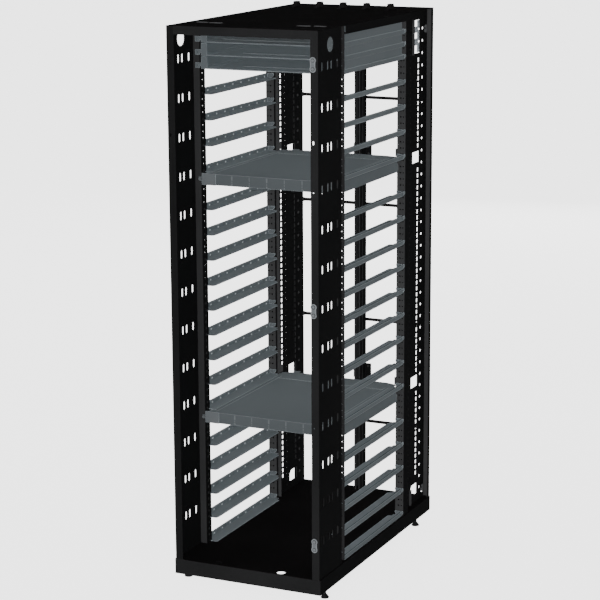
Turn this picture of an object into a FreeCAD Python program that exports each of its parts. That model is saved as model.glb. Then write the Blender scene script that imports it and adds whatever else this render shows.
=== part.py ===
import FreeCAD, Part
import os
import math
from FreeCAD import Vector

# Four post open frame rack, 21 inch equipment bay, 41 units of 48 mm.
# Millimetres, +Z up, front of the rack towards -Y, Z = 0 under the feet.

# ---- driving dimensions -------------------------------------------------
UNIT = 48.0               # one equipment unit
BASE_W = 600.0            # outer width over the base
DEPTH = 1098.0            # outer depth over posts and base
POST_W = 592.8            # outer width over the posts
FOOT_H = 34.0             # height of the levelling feet under the base
BASE_H = 60.0             # base underside to first equipment level
ROOF_TOP = 2057.0         # base underside to roof top face
ROOF_DROP = 31.5          # height of the roof beams with the roof sheet
SHEET = 2.0               # sheet thickness of frame parts
THIN = 1.5                # sheet thickness of trays and shelves
BAY_W = 538.0             # clear width of the equipment bay
FRONT_FLANGE_IN = 267.5   # inner edge of the front flanges, half width
STEP_Y = 201.0            # front face to the front mounting strip
LIP_Y = 240.0             # front face to the rear lip of the front posts
LIP_X = 291.0             # outer edge of that lip, half width
REAR_Y = 813.0            # front face to the front flange of the rear posts
REAR_FLANGE_IN = 262.0    # inner edge of that flange, half width
INNER_LIP_Y = 841.0       # small inner lip of the rear posts
INNER_LIP_X = 255.0
RETURN_Y = [1075.0, 1056.0]   # start of the rear return lip, right and left rear post
FRONT_RETURN = 862.0      # rear end of the front return lip of the rear posts
RAIL_IN = 240.0           # inner edge of the support rails, half width
RAIL_OUT = 291.0          # outer face of the support rails, half width
RAIL_H = 16.5             # height of the upright side of a support rail
HINGE_T = 3.0             # thickness of the hinge plates
HEAD_T = 2.5              # height of their screw heads

TRAY_LEVELS = [40, 39, 38]
UPPER_LEVELS = [36, 34, 32, 30]
MIDDLE_LEVELS = [27, 25, 23, 21, 19, 17, 15, 13, 11]
LOWER_LEVELS = [8, 6, 4, 2, 0]
SHELF_LEVELS = [29, 10]
CATCH_Z = [1975.0, 93.0]  # rounded cut-outs with a tab, right hand rear post only
BAR_Z = [1692.0, 1260.0, 780.0, 348.0]

HALF = BASE_W / 2.0
PH = POST_W / 2.0
BAY = BAY_W / 2.0
FLOOR_TOP = BASE_H - SHEET
POST_TOP = ROOF_TOP - SHEET
BEAM_BOT = ROOF_TOP - ROOF_DROP
Y0 = -(DEPTH - HINGE_T - HEAD_T) / 2.0   # front face of the posts in the part frame
Z0 = FOOT_H                     # underside of the base in the part frame

os.makedirs("parts", exist_ok=True)


def level(n):
    return BASE_H + n * UNIT


def box(x0, x1, y0, y1, z0, z1):
    b = Part.makeBox(x1 - x0, y1 - y0, z1 - z0)
    b.translate(Vector(x0, y0 + Y0, z0 + Z0))
    return b


def rect_pts(a0, a1, b0, b1):
    return [(a0, b0), (a1, b0), (a1, b1), (a0, b1)]


def wire_poly(pts, place):
    v = [place(a, b) for a, b in pts]
    v.append(v[0])
    return Part.makePolygon(v)


def wire_obround(a, b, wa, wb, place):
    """Rounded slot centred on a, b, wa by wb, round ends on its short sides."""
    if abs(wa - wb) < 1e-6:
        r = wa / 2.0
        p = [place(a + r, b), place(a, b + r), place(a - r, b), place(a, b - r)]
        e = [Part.Arc(p[0], p[1], p[2]).toShape(), Part.Arc(p[2], p[3], p[0]).toShape()]
        return Part.Wire(e)
    if wa > wb:
        r = wb / 2.0
        h = wa / 2.0 - r
        p1, p2 = place(a - h, b - r), place(a + h, b - r)
        p3, p4 = place(a + h, b + r), place(a - h, b + r)
        m1, m2 = place(a + h + r, b), place(a - h - r, b)
    else:
        r = wa / 2.0
        h = wb / 2.0 - r
        p1, p2 = place(a + r, b - h), place(a + r, b + h)
        p3, p4 = place(a - r, b + h), place(a - r, b - h)
        m1, m2 = place(a, b + h + r), place(a, b - h - r)
    e = [Part.makeLine(p1, p2), Part.Arc(p2, m1, p3).toShape(),
         Part.makeLine(p3, p4), Part.Arc(p4, m2, p1).toShape()]
    return Part.Wire(e)


def sheet_face(wires):
    if len(wires) == 1:
        return Part.Face(wires[0])
    return Part.makeFace(wires, "Part::FaceMakerBullseye")


def plate_x(x0, x1, outline, holes):
    """Sheet square to X. outline and holes are in y, z."""
    def place(a, b):
        return Vector(x0, a + Y0, b + Z0)
    wires = [wire_poly(outline, place)] + [h(place) for h in holes]
    return sheet_face(wires).extrude(Vector(x1 - x0, 0, 0))


def plate_y(y0, y1, outline, holes):
    """Sheet square to Y. outline and holes are in x, z."""
    def place(a, b):
        return Vector(a, y0 + Y0, b + Z0)
    wires = [wire_poly(outline, place)] + [h(place) for h in holes]
    return sheet_face(wires).extrude(Vector(0, y1 - y0, 0))


def plate_z(z0, z1, outline, holes):
    """Sheet square to Z. outline and holes are in x, y."""
    def place(a, b):
        return Vector(a, b + Y0, z0 + Z0)
    wires = [wire_poly(outline, place)] + [h(place) for h in holes]
    return sheet_face(wires).extrude(Vector(0, 0, z1 - z0))


def ob(a, b, wa, wb):
    return lambda place: wire_obround(a, b, wa, wb, place)


def sq(a, b, wa, wb):
    return lambda place: wire_poly(
        rect_pts(a - wa / 2.0, a + wa / 2.0, b - wb / 2.0, b + wb / 2.0), place)


def poly(pts):
    return lambda place: wire_poly(pts, place)


def fuse(shapes):
    s = shapes[0].multiFuse(shapes[1:]) if len(shapes) > 1 else shapes[0]
    s = s.removeSplitter()
    return s


def mirror(shape):
    return shape.mirror(Vector(0, 0, 0), Vector(1, 0, 0))


def save(name, shapes):
    if not isinstance(shapes, list):
        shapes = [shapes]
    solids = []
    for s in shapes:
        solids += s.Solids
    for s in solids:
        if not s.isValid() or not s.isClosed():
            raise RuntimeError("bad solid in " + name)
    out = solids[0] if len(solids) == 1 else Part.Compound(solids)
    out.exportStep("parts/" + name + ".step")
    print(name, len(solids), "solids", round(out.Volume / 1000.0, 1), "cm3")


# ---- front posts --------------------------------------------------------
FLANGE_PAIR_Z = [1939.0, 1065.0, 190.0]


def front_post(side):
    """Right hand post; side -1 gets the latch side holes, +1 the hinge side."""
    if side < 0:
        fx = 286.0
        holes = []
        for zc in FLANGE_PAIR_Z:
            holes += [ob(fx, zc - 15, 5, 5), ob(fx, zc + 15, 5, 5)]
        holes += [ob(fx, 1664, 7, 15), ob(fx, 1492, 5, 5), ob(fx, 636, 5, 5)]
    else:
        fx = 278.0
        holes = [ob(fx, 1666, 7, 14), ob(fx, 1490, 5, 5), ob(fx, 633, 5, 5)]
    flange = plate_y(0, SHEET, rect_pts(FRONT_FLANGE_IN, PH, FLOOR_TOP, POST_TOP), holes)

    web_holes = [ob(106.0, 2001.0, 54.0, 54.0)]
    for g in range(13):
        zc = 1930.0 - g * 3 * UNIT
        for yc in (36.0, 85.0, 114.5, 166.0):
            web_holes.append(ob(yc, zc, 12.0, 32.0))
    web = plate_x(PH - SHEET, PH, rect_pts(0, STEP_Y + SHEET, FLOOR_TOP, POST_TOP), web_holes)

    step = plate_y(STEP_Y, STEP_Y + SHEET, rect_pts(BAY, PH, FLOOR_TOP, POST_TOP), [])

    inner_holes = [sq(221.5, 2008.0 - 24.0 * k, 7.0, 8.0) for k in range(81)]
    inner = plate_x(BAY, BAY + SHEET, rect_pts(STEP_Y, LIP_Y + SHEET, FLOOR_TOP, POST_TOP),
                    inner_holes)
    lip_holes = [ob(281.0, 2008.0 - 24.0 * k, 4.0, 4.0) for k in range(81)]
    lip = plate_y(LIP_Y, LIP_Y + SHEET, rect_pts(BAY, LIP_X, FLOOR_TOP, POST_TOP), lip_holes)
    return fuse([flange, web, step, inner, lip])


save("front_right_post", front_post(1))
save("front_left_post", mirror(front_post(-1)))


# ---- rear posts ---------------------------------------------------------
def rear_post(ret_y, catches):
    """Right hand post; catches adds the two rounded cut-outs with a tab behind each."""
    fh = []
    for k in range(80):
        zc = 1996.0 - 24.0 * k
        fh += [sq(276.5, zc, 6.0, 6.0), ob(288.0, zc, 5.0, 5.0)]
    flange = plate_y(REAR_Y, REAR_Y + SHEET,
                     rect_pts(REAR_FLANGE_IN, PH, FLOOR_TOP, POST_TOP), fh)

    wh = []
    for k in range(40):                      # one oval per unit
        wh.append(ob(1049.0, level(40 - k), 15.0, 11.0))
    wins = [(1887.0, 2016.0), (1458.0, 1502.0), (546.0, 592.0), (90.0, 136.0)]

    def clear(zc):
        return all(zc < a - 14 or zc > b + 14 for a, b in wins)
    for k in range(75):                      # ladder of slots at half units
        zc = 1860.0 - 24.0 * k
        if clear(zc) and zc > 160:
            wh.append(sq(1008.0, zc, 14.0, 16.5))
    for k in range(75):
        zc = 1860.0 - 24.0 * k
        if zc > 110:
            wh.append(sq(887.0, zc, 14.0, 16.5))
    for k in range(80):
        zc = 1980.0 - 24.0 * k
        if zc > 80:
            wh.append(ob(926.0, zc, 5.0, 5.0))
    wh.append(sq(981.0, 1951.5, 74.0, 129.0))
    wh.append(sq(984.0, 1480.0, 68.0, 44.0))
    wh.append(sq(984.0, 569.0, 68.0, 46.0))
    wh.append(poly([(952, 90), (1019, 90), (1019, 136), (966, 136), (952, 122)]))
    # the two rounded cut-outs beside the rear flange
    for zc in catches:
        def dcut(place, zc=zc):
            p = [place(1094, zc - 16), place(1094, zc + 16), place(1080, zc + 16),
                 place(1080, zc - 16)]
            m = place(1064, zc)
            return Part.Wire([Part.makeLine(p[0], p[1]), Part.makeLine(p[1], p[2]),
                              Part.Arc(p[2], m, p[3]).toShape(), Part.makeLine(p[3], p[0])])
        wh.append(dcut)
    web = plate_x(BAY, BAY + SHEET, rect_pts(REAR_Y, DEPTH, FLOOR_TOP, POST_TOP), wh)
    inner = box(INNER_LIP_X, BAY, INNER_LIP_Y, INNER_LIP_Y + SHEET, FLOOR_TOP, POST_TOP)
    rear = plate_y(DEPTH - SHEET, DEPTH, rect_pts(BAY, PH, FLOOR_TOP, POST_TOP), [])
    ret = box(PH - SHEET, PH, ret_y, DEPTH, FLOOR_TOP, POST_TOP)
    tabs = [box(PH - SHEET, PH, REAR_Y, FRONT_RETURN, FLOOR_TOP, POST_TOP)]
    for zc in catches:
        tabs.append(plate_y(DEPTH - SHEET, DEPTH,
                            rect_pts(BAY - 16.0, BAY, zc - 18, zc + 18), []))
    for n in SHELF_LEVELS:
        zt = level(n) + UNIT
        tabs.append(box(INNER_LIP_X - 11.0, INNER_LIP_X, INNER_LIP_Y, INNER_LIP_Y + SHEET,
                        zt + 2.0, zt + 32.0))
    tabs.append(box(BAY + SHEET, BAY + 12, 940.0, 942.0, 1884.0, 2020.0))
    tabs.append(box(BAY + SHEET, BAY + 12, 940.0, 942.0, 60.0, 126.0))
    return fuse([flange, web, inner, rear, ret] + tabs)


save("rear_right_post", rear_post(RETURN_Y[0], CATCH_Z))
save("rear_left_post", mirror(rear_post(RETURN_Y[1], [])))


# light clip strip seen in the upper window of the right rear post
CLIP_IN = BAY - SHEET
clip = [(958.0, 1967.0), (998.0, 1967.0), (998.0, 1944.0), (958.0, 1944.0), (958.0, 1918.0),
        (998.0, 1918.0), (998.0, 1890.0), (1046.0, 1890.0), (1046.0, 2014.0), (998.0, 2014.0),
        (998.0, 1990.0), (958.0, 1990.0)]
save("rear_clip_strip", plate_x(CLIP_IN, BAY, clip, [sq(1016.0, 1979.0, 20.0, 7.0),
                                                     sq(1016.0, 1931.0, 20.0, 8.0)]))


# ---- base ---------------------------------------------------------------
floor_holes = [ob(-131.0, 23.0, 32.0, 32.0), ob(131.0, 23.0, 32.0, 32.0)]
save("floor_panel", plate_z(FLOOR_TOP - SHEET, FLOOR_TOP,
                            rect_pts(-HALF, HALF, 0, DEPTH), floor_holes))
BT = FLOOR_TOP - SHEET
fb = [box(-HALF, HALF, 0, SHEET, 0, BT), box(-HALF + SHEET, HALF - SHEET, SHEET, 40, 0, 3)]
save("base_front_beam", fuse(fb))
rb = [box(-HALF, HALF, DEPTH - SHEET, DEPTH, 0, BT),
      box(-HALF + SHEET, HALF - SHEET, DEPTH - 40, DEPTH - SHEET, 0, 3)]
save("base_rear_beam", fuse(rb))
FOOT_X = 284.0
FOOT_Y = [76.0, 978.0]
BEAM_IN = 186.0           # inner edge of the bottom flanges of the side beams
STEM_R = 5.0
NUT_R = 9.2
bl = fuse([box(HALF - SHEET, HALF, SHEET, DEPTH - SHEET, 0, BT),
           plate_z(0, 3.0, rect_pts(BEAM_IN, HALF - SHEET, 40.0, DEPTH - 40.0),
                   [ob(FOOT_X, y, 2 * STEM_R + 1.0, 2 * STEM_R + 1.0) for y in FOOT_Y])])
save("base_right_beam", bl)
save("base_left_beam", mirror(bl))


# ---- roof ---------------------------------------------------------------
rh = []
for s in (-1, 1):
    rh += [ob(s * 174.0, 152.0, 48.0, 14.0), ob(s * 234.0, 160.0, 42.0, 12.0)]
    rh += [ob(s * 152.0, 284.0, 8.0, 8.0), ob(s * 89.0, 290.0, 8.0, 8.0),
           ob(s * 157.0, 450.0, 8.0, 8.0), ob(s * 262.0, 457.0, 8.0, 8.0),
           ob(s * 190.0, 1045.0, 18.0, 7.0)]
rh += [ob(0.0, 1045.0, 18.0, 7.0)]
save("roof_panel", plate_z(POST_TOP, ROOF_TOP, rect_pts(-PH, PH, 0, DEPTH), rh))
fi = FRONT_FLANGE_IN
save("roof_front_beam", fuse([box(-fi, fi, 0, SHEET, BEAM_BOT, POST_TOP),
                              box(-fi, fi, SHEET, 30, BEAM_BOT, BEAM_BOT + SHEET)]))
save("roof_rear_beam", fuse([box(-BAY, BAY, DEPTH - SHEET, DEPTH, BEAM_BOT, POST_TOP),
                             box(-BAY, BAY, DEPTH - 30, DEPTH - SHEET, BEAM_BOT,
                                 BEAM_BOT + SHEET)]))
sb = fuse([box(PH - SHEET, PH, LIP_Y + SHEET, REAR_Y, BEAM_BOT, POST_TOP),
           box(BAY, PH - SHEET, LIP_Y + SHEET, REAR_Y, BEAM_BOT, BEAM_BOT + SHEET)])
save("roof_right_beam", sb)
save("roof_left_beam", mirror(sb))

# bridge shaped tie brackets along the rear of the roof
brk = []
for i in range(5):
    xc = (i - 2) * 100.0 - 20.0
    w = 8.0
    pts = [(900, 0), (918, 0), (928, 20), (952, 20), (962, 0), (980, 0),
           (980, 2), (963.2, 2), (953.2, 22), (926.8, 22), (916.8, 2), (900, 2)]
    brk.append(plate_x(xc - w, xc + w, [(a, b + ROOF_TOP) for a, b in pts], []))
save("roof_tie_brackets", brk)


# ---- support rails ------------------------------------------------------
def rail(n):
    """Right hand support rail, its resting face at level n."""
    zl = level(n)
    t = SHEET
    r = 9.0
    a, b = RAIL_IN, RAIL_OUT
    f0, f1 = 232.0, LIP_Y + SHEET
    e1, e2 = 790.0, REAR_Y

    def place(px, py):
        return Vector(px, py + Y0, zl - t + Z0)
    k = r * (1 - math.cos(math.pi / 4))
    seg = [Part.makeLine(place(a + r, f0), place(BAY - 1.0, f0)),
           Part.makeLine(place(BAY - 1.0, f0), place(BAY - 1.0, f1)),
           Part.makeLine(place(BAY - 1.0, f1), place(b, f1)),
           Part.makeLine(place(b, f1), place(b, e2)),
           Part.makeLine(place(b, e2), place(a + 14, e2)),
           Part.makeLine(place(a + 14, e2), place(a + 14, e1 + 4)),
           Part.makeLine(place(a + 14, e1 + 4), place(a + r, e1 + 4)),
           Part.Arc(place(a + r, e1 + 4), place(a + k, e1 + 4 - k), place(a, e1 + 4 - r)).toShape(),
           Part.makeLine(place(a, e1 + 4 - r), place(a, f0 + r)),
           Part.Arc(place(a, f0 + r), place(a + k, f0 + k), place(a + r, f0)).toShape()]
    flange = Part.Face(Part.Wire(seg)).extrude(Vector(0, 0, t))
    web = plate_x(b - t, b, rect_pts(f1, e2, zl - t, zl + RAIL_H), [])
    front_tab = plate_y(f1, f1 + t, rect_pts(BAY + 2, b, zl - t, zl + RAIL_H), [])
    rear_tab = plate_y(e2 - t, e2, [(270.0, zl - t), (PH - 8.0, zl - t), (PH, zl + 7.0),
                                    (PH, zl + RAIL_H), (261.0, zl + RAIL_H),
                                    (261.0, zl + 10.0), (270.0, zl + 1.0)],
                       [ob(276.5, zl + 9.0, 5.0, 5.0)])
    return fuse([flange, web, front_tab, rear_tab])


GROUPS = [("top", TRAY_LEVELS), ("upper", UPPER_LEVELS), ("middle", MIDDLE_LEVELS),
          ("lower", LOWER_LEVELS)]
base_rail = rail(20)
low_rail = rail(0)
for gname, levels in GROUPS:
    rs = []
    for n in levels:
        if n == 0:
            rs.append(low_rail)
        else:
            c = base_rail.copy()
            c.translate(Vector(0, 0, (n - 20) * UNIT))
            rs.append(c)
    save("support_rails_right_" + gname, rs)
    save("support_rails_left_" + gname, [mirror(r) for r in rs])


# ---- trays in the three top units --------------------------------------
WALL_X = RAIL_OUT - SHEET      # trays and shelves fill the space between the rails
BACK_Y = 790.0                 # rear end of the trays
JOG_Y = LIP_Y + SHEET + SHEET  # behind the front mounting lip and the rail ends


def deck(zl, front_x, back_y, z0, z1):
    """Flat deck: narrow between the front posts, wide between the rails."""
    pts = [(-front_x, STEP_Y), (front_x, STEP_Y), (front_x, JOG_Y), (WALL_X, JOG_Y),
           (WALL_X, back_y), (-WALL_X, back_y), (-WALL_X, JOG_Y), (-front_x, JOG_Y)]
    return plate_z(z0, z1, pts, [])


def tray(n):
    zl = level(n)
    fx = 262.0
    h = 45.0
    t = THIN
    parts = [deck(zl, fx, BACK_Y, zl, zl + t),
             box(-fx, fx, STEP_Y - t, STEP_Y, zl, zl + 4.0),
             box(-WALL_X, WALL_X, BACK_Y - t, BACK_Y, zl, zl + h)]
    for s in (-1, 1):
        def both(a, b, *r):
            x0, x1 = sorted((s * a, s * b))
            parts.append(box(x0, x1, *r))
        both(WALL_X - t, WALL_X, JOG_Y, BACK_Y, zl, zl + h)
        both(fx - t, fx, STEP_Y, JOG_Y + t, zl, zl + h)
        both(fx - t, WALL_X, JOG_Y, JOG_Y + t, zl, zl + h)
        ear = [(237.0, zl), (262.0, zl), (262.0, zl + 9.0), (267.5, zl + 9.0),
               (267.5, zl + 2.5), (286.0, zl + 2.5), (286.0, zl + 22.5), (262.0, zl + 22.5),
               (262.0, zl + h), (237.0, zl + h)]
        parts.append(plate_y(STEP_Y - t, STEP_Y, [(s * a, b) for a, b in ear],
                             [ob(s * 277.0, zl + 12.5, 6.0, 6.0)]))
    return fuse(parts)


t1 = tray(40)
for nm, n in zip(("top", "middle", "bottom"), TRAY_LEVELS):
    c = t1.copy()
    c.translate(Vector(0, 0, (n - 40) * UNIT))
    save("tray_" + nm, c)


# ---- shelves ------------------------------------------------------------
SHELF_BACK = 866.0


def shelf(n):
    """Shelf hung under the rails at the top of unit n."""
    zl = level(n)
    t = THIN
    top = zl + UNIT - SHEET
    low = zl + 4.0
    fx = 255.0
    bx = 250.0
    pts = [(-fx, STEP_Y), (fx, STEP_Y), (fx, JOG_Y), (WALL_X, JOG_Y),
           (WALL_X, 788.0), (bx + 12.0, 800.0), (bx, 812.0), (bx, SHELF_BACK - 16.0),
           (200.0, SHELF_BACK), (-186.0, SHELF_BACK), (-186.0, SHELF_BACK + 22.0),
           (-209.0, SHELF_BACK + 22.0), (-209.0, SHELF_BACK - 3.0),
           (-bx, SHELF_BACK - 16.0), (-bx, 812.0), (-bx - 12.0, 800.0),
           (-WALL_X, 788.0), (-WALL_X, JOG_Y), (-fx, JOG_Y)]
    perf = [ob(-224.0 + 14.0 * k, 760.0, 7.0, 4.0) for k in range(33)]
    parts = [plate_z(top - t, top, pts, perf),
             box(-fx, fx, STEP_Y - t, STEP_Y, low, top)]
    for s in (-1, 1):
        def both(a, b, *r):
            x0, x1 = sorted((s * a, s * b))
            parts.append(box(x0, x1, *r))
        wall = [(JOG_Y, low), (752.0, low), (760.0, low + 8.0), (760.0, top - 16.0),
                (744.0, top), (JOG_Y, top)]
        xs = sorted((s * (WALL_X - t), s * WALL_X))
        parts.append(plate_x(xs[0], xs[1], wall, []))
        both(fx - t, fx, STEP_Y, JOG_Y + t, low, top)
        both(fx - t, WALL_X, JOG_Y, JOG_Y + t, low, top)
        both(209.0, 254.0, STEP_Y - 2 * t, STEP_Y - t, low - 1.0, top + 1.0)
        ear = [(254.0, low - 1.0), (266.0, low - 1.0), (266.0, low + 14.0), (278.0, low + 14.0),
               (278.0, low + 28.0), (266.0, low + 28.0), (266.0, top + 1.0), (254.0, top + 1.0)]
        parts.append(plate_y(STEP_Y - 2 * t, STEP_Y - t, [(s * a, b) for a, b in ear],
                             [ob(s * 271.0, low + 21.0, 6.4, 6.4)]))
    return fuse(parts)


def thumb_screw(s, n):
    zc = level(n) + 25.0
    yf = STEP_Y - 2 * THIN
    head = Part.makeCylinder(5.8, 7.0, Vector(s * 271.0, yf - 7.0 + Y0, zc + Z0),
                             Vector(0, 1, 0))
    shank = Part.makeCylinder(2.9, 2 * THIN, Vector(s * 271.0, yf + Y0, zc + Z0),
                              Vector(0, 1, 0))
    return head.fuse(shank).removeSplitter()


for nm, n in (("upper", SHELF_LEVELS[0]), ("lower", SHELF_LEVELS[1])):
    save("shelf_" + nm, shelf(n))
    save("thumb_screws_" + nm, [thumb_screw(-1, n), thumb_screw(1, n)])


# ---- rear cross bars and the power bar column ---------------------------
BAR_Y = DEPTH - 4.0
for i, zb in enumerate(BAR_Z):
    save("rear_cross_bar_%d" % (i + 1), box(-BAY, BAY, BAR_Y, DEPTH, zb - 6.0, zb + 6.0))

cw = 14.5                 # half width of the bus bar housing
cy0, cy1 = 1040.0, BAR_Y
col = [box(-cw, cw, cy1 - SHEET, cy1, FLOOR_TOP, 1990.0),
       box(-cw, -cw + SHEET, cy0, cy1, FLOOR_TOP, 1990.0),
       box(cw - SHEET, cw, cy0, cy1, FLOOR_TOP, 1990.0),
       box(-cw, -3.5, cy0, cy0 + SHEET, FLOOR_TOP, 1990.0),
       box(3.5, cw, cy0, cy0 + SHEET, FLOOR_TOP, 1990.0)]
for z0, z1 in ((1456.0, 1506.0), (532.0, 595.0)):
    for s in (-1, 1):
        x0, x1 = sorted((s * cw, s * 38.0))
        col.append(box(x0, x1, cy1 - 6.0, cy1, z0, z1))
save("bus_bar_housing", fuse(col))
save("bus_bar_conductors", [box(-8.0, -5.0, cy0 + 8, cy1 - SHEET, 76.0, 1980.0),
                            box(5.0, 8.0, cy0 + 8, cy1 - SHEET, 76.0, 1980.0)])


# ---- hinge plates -------------------------------------------------------
def hinge(zc):
    xc = 278.0
    r = 12.0
    a = math.sqrt(r * r - 10.0 * 10.0)
    parts = []
    for d in (-15.0, 15.0):
        parts.append(Part.makeCylinder(r, HINGE_T, Vector(xc, -HINGE_T + Y0, zc + d + Z0),
                                       Vector(0, 1, 0)))
        head = Part.makeCylinder(6.8, HEAD_T, Vector(xc, -HINGE_T - HEAD_T + Y0, zc + d + Z0),
                                 Vector(0, 1, 0))
        rim = [e for e in head.Edges if abs(e.CenterOfMass.y - (-HINGE_T - HEAD_T + Y0)) < 1e-6
               and e.Length > 40.0]
        parts.append(head.makeChamfer(0.8, rim))
    parts.append(box(xc - 10.0, xc + 10.0, -HINGE_T, 0, zc - 15.0, zc + 15.0))
    return fuse(parts)


for nm, zc in zip(("top", "middle", "bottom"), FLANGE_PAIR_Z):
    save("hinge_plate_" + nm, hinge(zc))


# ---- levelling feet -----------------------------------------------------
def foot(xc, yc):
    prof = [(0, -FOOT_H), (16.0, -FOOT_H), (16.0, -FOOT_H + 4), (13.5, -FOOT_H + 6),
            (7.0, -FOOT_H + 15), (STEM_R, -FOOT_H + 16), (STEM_R, 30.0), (0, 30.0)]
    v = [Vector(xc + a, yc + Y0, b + Z0) for a, b in prof]
    v.append(v[0])
    f = Part.Face(Part.makePolygon(v))
    body = f.revolve(Vector(xc, yc + Y0, 0), Vector(0, 0, 1), 360)
    h = [Vector(xc + NUT_R * math.cos(math.radians(60 * i)),
                yc + Y0 + NUT_R * math.sin(math.radians(60 * i)), Z0 - 8.0) for i in range(7)]
    nut = Part.Face(Part.makePolygon(h)).extrude(Vector(0, 0, 8.0))
    return fuse([body, nut])


for nm, sx, yy in (("front_left", -1, 0), ("front_right", 1, 0), ("rear_left", -1, 1),
                   ("rear_right", 1, 1)):
    save("levelling_foot_" + nm, foot(sx * FOOT_X, FOOT_Y[yy]))
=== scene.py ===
import bpy
import bmesh
import math
from mathutils import Matrix, Vector


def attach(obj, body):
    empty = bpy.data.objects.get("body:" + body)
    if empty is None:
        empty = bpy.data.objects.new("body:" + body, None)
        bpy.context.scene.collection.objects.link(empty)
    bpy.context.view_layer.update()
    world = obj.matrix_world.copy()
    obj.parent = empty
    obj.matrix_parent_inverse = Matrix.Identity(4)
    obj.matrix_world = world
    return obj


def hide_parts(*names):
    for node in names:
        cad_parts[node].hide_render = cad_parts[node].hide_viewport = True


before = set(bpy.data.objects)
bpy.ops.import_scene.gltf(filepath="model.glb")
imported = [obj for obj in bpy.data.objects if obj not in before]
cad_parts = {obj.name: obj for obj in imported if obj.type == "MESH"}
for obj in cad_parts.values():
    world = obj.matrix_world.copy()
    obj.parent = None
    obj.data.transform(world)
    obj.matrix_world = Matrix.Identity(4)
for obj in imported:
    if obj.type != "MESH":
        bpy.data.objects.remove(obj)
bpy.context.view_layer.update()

# ------------------------------------------------------------------ dimensions
# metres, same frame as the CAD: Z 0 on the floor, front of the rack towards -Y
MM = 0.001
UNIT = 48.0
Y0 = -546.25
Z0 = 34.0
DEPTH = 1098.0


def level(n):
    return 60.0 + n * UNIT


def P(x, y, z):
    """Millimetres measured from the centre, the front face and the base underside."""
    return Vector((x * MM, (y + Y0) * MM, (z + Z0) * MM))


# ------------------------------------------------------------------- materials
def node(nt, kind, x=0, y=0, **inputs):
    n = nt.nodes.new(kind)
    n.location = (x, y)
    for k, v in inputs.items():
        n.inputs[k.replace("_", " ")].default_value = v
    return n


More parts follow.
